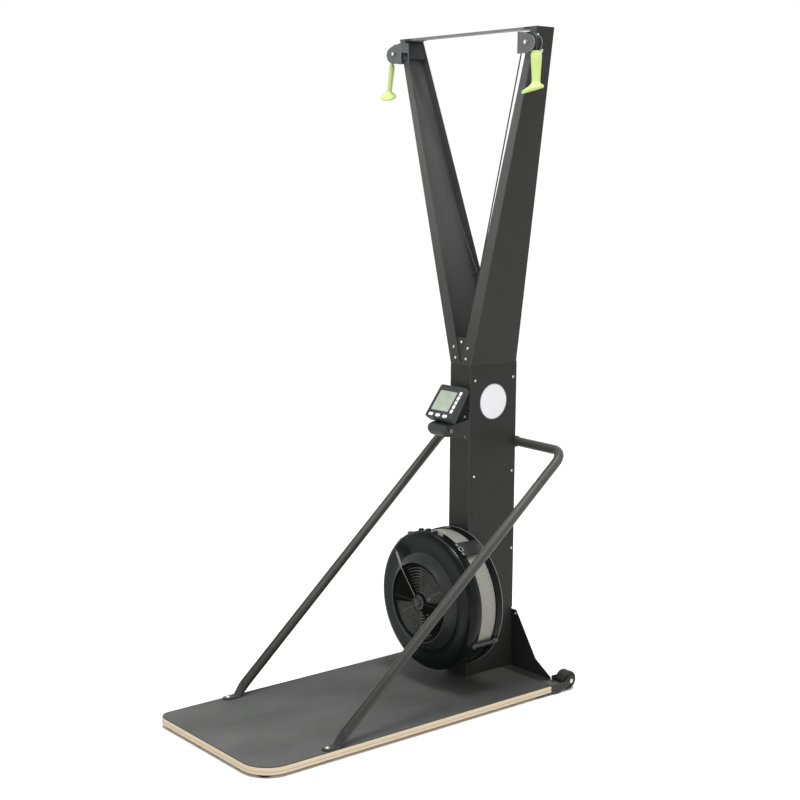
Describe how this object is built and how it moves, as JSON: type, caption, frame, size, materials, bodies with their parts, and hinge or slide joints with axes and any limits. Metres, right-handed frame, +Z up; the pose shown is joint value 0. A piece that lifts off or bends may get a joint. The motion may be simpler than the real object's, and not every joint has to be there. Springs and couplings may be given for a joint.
{
  "type": "ski trainer",
  "caption": "Standing ski trainer: a forked steel tower with a fan flywheel, pull handles on cords over pulleys, a tilting console, a plywood deck, side braces and wheels.",
  "frame": {"origin": "centre of the bounding box on the floor", "axes": "+Z up, +Y from the free end of the deck towards the tower, +X to the right of a person who faces the tower"},
  "size_m": [0.769, 1.2986, 2.1926],
  "materials": {
    "plywood": "clear matte, layered edge",
    "deck_mat": "matte",
    "rubber": "matte",
    "black_steel": "fine textured black powder coat",
    "dark_steel": "black powder coat",
    "grey_steel": "satin",
    "bright_steel": "polished",
    "black_plastic": "satin moulded",
    "grey_mesh": "grey perforated sheet",
    "lime_plastic": "matte moulded",
    "console_plastic": "matte moulded",
    "screen": "smooth display window",
    "white_rubber": "matte",
    "cord": "braided",
    "elastic": "braided elastic"
  },
  "bodies": {
    "frame": {"deck_board": "plywood", "deck_mat": "deck_mat", "deck_foot_front_left": "rubber", "deck_foot_front_right": "rubber", "deck_foot_rear_left": "rubber", "deck_foot_rear_right": "rubber", "rear_beam": "dark_steel", "rear_gusset_plate": "dark_steel", "wheel_bracket_left": "dark_steel", "wheel_bracket_right": "dark_steel", "tower_column": "black_steel", "column_back_cover": "dark_steel", "arm_left": "black_steel", "arm_right": "black_steel", "junction_plate": "dark_steel", "top_crossbar": "dark_steel", "pulley_bracket_left": "grey_steel", "pulley_bracket_right": "grey_steel", "cord_guide_mast": "dark_steel", "shaft_bearing_front": "grey_steel", "shaft_bearing_rear": "grey_steel", "drive_cord_left": "cord", "drive_cord_right": "cord", "cord_tail_left": "cord", "cord_tail_right": "cord", "return_cord_left": "elastic", "return_cord_right": "elastic", "fan_front_cover": "black_plastic", "fan_mesh_band": "grey_mesh", "fan_rear_cover": "black_plastic", "side_brace_left": "black_steel", "side_brace_right": "black_steel", "brace_crossbar": "black_steel", "console_bracket": "dark_steel", "console_pivot_pin": "bright_steel"},
    "handle_left": {"handle_left": "lime_plastic", "cord_stop_left": "lime_plastic"},
    "handle_right": {"handle_right": "lime_plastic", "cord_stop_right": "lime_plastic"},
    "top_pulley_left": {"top_pulley_left": "black_plastic"},
    "top_pulley_right": {"top_pulley_right": "black_plastic"},
    "guide_roller_left": {"guide_roller_left": "black_plastic"},
    "guide_roller_right": {"guide_roller_right": "black_plastic"},
    "cord_drum_left": {"cord_drum_left": "black_plastic"},
    "cord_drum_right": {"cord_drum_right": "black_plastic"},
    "flywheel": {"flywheel": "grey_steel", "drive_shaft": "bright_steel"},
    "damper": {"damper_disc": "black_plastic"},
    "console": {"console_body": "console_plastic", "console_screen": "screen"},
    "console_button_1": {"console_button_1": "white_rubber"},
    "console_button_2": {"console_button_2": "white_rubber"},
    "console_button_3": {"console_button_3": "white_rubber"},
    "console_key_1": {"console_key_1": "white_rubber"},
    "console_key_2": {"console_key_2": "white_rubber"},
    "console_key_3": {"console_key_3": "white_rubber"},
    "console_key_4": {"console_key_4": "white_rubber"},
    "console_key_5": {"console_key_5": "white_rubber"},
    "transport_wheel_left": {"transport_wheel_left": "rubber"},
    "transport_wheel_right": {"transport_wheel_right": "rubber"}
  },
  "joints": [
    {"name": "handle_left_pull", "type": "slide", "parent": "frame", "child": "handle_left", "axis": [0, 0, -1], "range_m": [0, 1.4], "stiffness_N_per_m": 14, "springref_m": -1, "deforming": ["cord_tail_left"]},
    {"name": "handle_right_pull", "type": "slide", "parent": "frame", "child": "handle_right", "axis": [0, 0, -1], "range_m": [0, 1.4], "stiffness_N_per_m": 14, "springref_m": -1, "deforming": ["cord_tail_right"]},
    {"name": "top_pulley_left_spin", "type": "hinge", "parent": "frame", "child": "top_pulley_left", "pos_m": [-0.322, 0.3429, 2.1416], "axis": [0, 1, 0], "range_deg": [-2776, 5]},
    {"name": "top_pulley_right_spin", "type": "hinge", "parent": "frame", "child": "top_pulley_right", "pos_m": [0.322, 0.3429, 2.1416], "axis": [0, 1, 0], "range_deg": [-5, 2776]},
    {"name": "guide_roller_left_spin", "type": "hinge", "parent": "frame", "child": "guide_roller_left", "pos_m": [-0.0145, 0.4357, 1.4106], "axis": [0, 1, 0], "range_deg": [-8454, 5]},
    {"name": "guide_roller_right_spin", "type": "hinge", "parent": "frame", "child": "guide_roller_right", "pos_m": [0.0145, 0.4357, 1.4106], "axis": [0, 1, 0], "range_deg": [-5, 8454]},
    {"name": "cord_drum_left_spin", "type": "hinge", "parent": "frame", "child": "cord_drum_left", "pos_m": [0, 0.4107, 0.3196], "axis": [0, 1, 0], "range_deg": [-2875, 5]},
    {"name": "cord_drum_right_spin", "type": "hinge", "parent": "frame", "child": "cord_drum_right", "pos_m": [0, 0.4447, 0.3196], "axis": [0, 1, 0], "range_deg": [-2875, 5]},
    {"name": "flywheel_spin", "type": "hinge", "parent": "frame", "child": "flywheel", "pos_m": [0, 0.2547, 0.3196], "axis": [0, 1, 0], "continuous": true},
    {"name": "damper_turn", "type": "hinge", "parent": "frame", "child": "damper", "pos_m": [0, 0.1877, 0.3196], "axis": [0, 1, 0], "range_deg": [0, 60]},
    {"name": "console_tilt", "type": "hinge", "parent": "frame", "child": "console", "pos_m": [0, 0.2777, 0.9006], "axis": [1, 0, 0], "range_deg": [-3, 35]},
    {"name": "console_button_1_press", "type": "slide", "parent": "console", "child": "console_button_1", "axis": [0, 0.8028, -0.5962], "range_m": [0, 0.0012], "stiffness_N_per_m": 300, "springref_m": -0.002},
    {"name": "console_button_2_press", "type": "slide", "parent": "console", "child": "console_button_2", "axis": [0, 0.8028, -0.5962], "range_m": [0, 0.0012], "stiffness_N_per_m": 300, "springref_m": -0.002},
    {"name": "console_button_3_press", "type": "slide", "parent": "console", "child": "console_button_3", "axis": [0, 0.8028, -0.5962], "range_m": [0, 0.0012], "stiffness_N_per_m": 300, "springref_m": -0.002},
    {"name": "console_key_1_press", "type": "slide", "parent": "console", "child": "console_key_1", "axis": [0, 0.8028, -0.5962], "range_m": [0, 0.0012], "stiffness_N_per_m": 300, "springref_m": -0.002},
    {"name": "console_key_2_press", "type": "slide", "parent": "console", "child": "console_key_2", "axis": [0, 0.8028, -0.5962], "range_m": [0, 0.0012], "stiffness_N_per_m": 300, "springref_m": -0.002},
    {"name": "console_key_3_press", "type": "slide", "parent": "console", "child": "console_key_3", "axis": [0, 0.8028, -0.5962], "range_m": [0, 0.0012], "stiffness_N_per_m": 300, "springref_m": -0.002},
    {"name": "console_key_4_press", "type": "slide", "parent": "console", "child": "console_key_4", "axis": [0, 0.8028, -0.5962], "range_m": [0, 0.0012], "stiffness_N_per_m": 300, "springref_m": -0.002},
    {"name": "console_key_5_press", "type": "slide", "parent": "console", "child": "console_key_5", "axis": [0, 0.8028, -0.5962], "range_m": [0, 0.0012], "stiffness_N_per_m": 300, "springref_m": -0.002},
    {"name": "transport_wheel_left_roll", "type": "hinge", "parent": "frame", "child": "transport_wheel_left", "pos_m": [-0.2725, 0.6178, 0.034], "axis": [1, 0, 0], "continuous": true},
    {"name": "transport_wheel_right_roll", "type": "hinge", "parent": "frame", "child": "transport_wheel_right", "pos_m": [0.2725, 0.6178, 0.034], "axis": [1, 0, 0], "continuous": true}
  ],
  "couplings": [
    {"joint": "top_pulley_left_spin", "follows": "handle_left_pull", "rad_per_m": -34.483},
    {"joint": "top_pulley_right_spin", "follows": "handle_right_pull", "rad_per_m": 34.483},
    {"joint": "guide_roller_left_spin", "follows": "handle_left_pull", "rad_per_m": -105.26},
    {"joint": "guide_roller_right_spin", "follows": "handle_right_pull", "rad_per_m": 105.26},
    {"joint": "cord_drum_left_spin", "follows": "handle_left_pull", "rad_per_m": -35.714},
    {"joint": "cord_drum_right_spin", "follows": "handle_right_pull", "rad_per_m": -35.714}
  ]
}
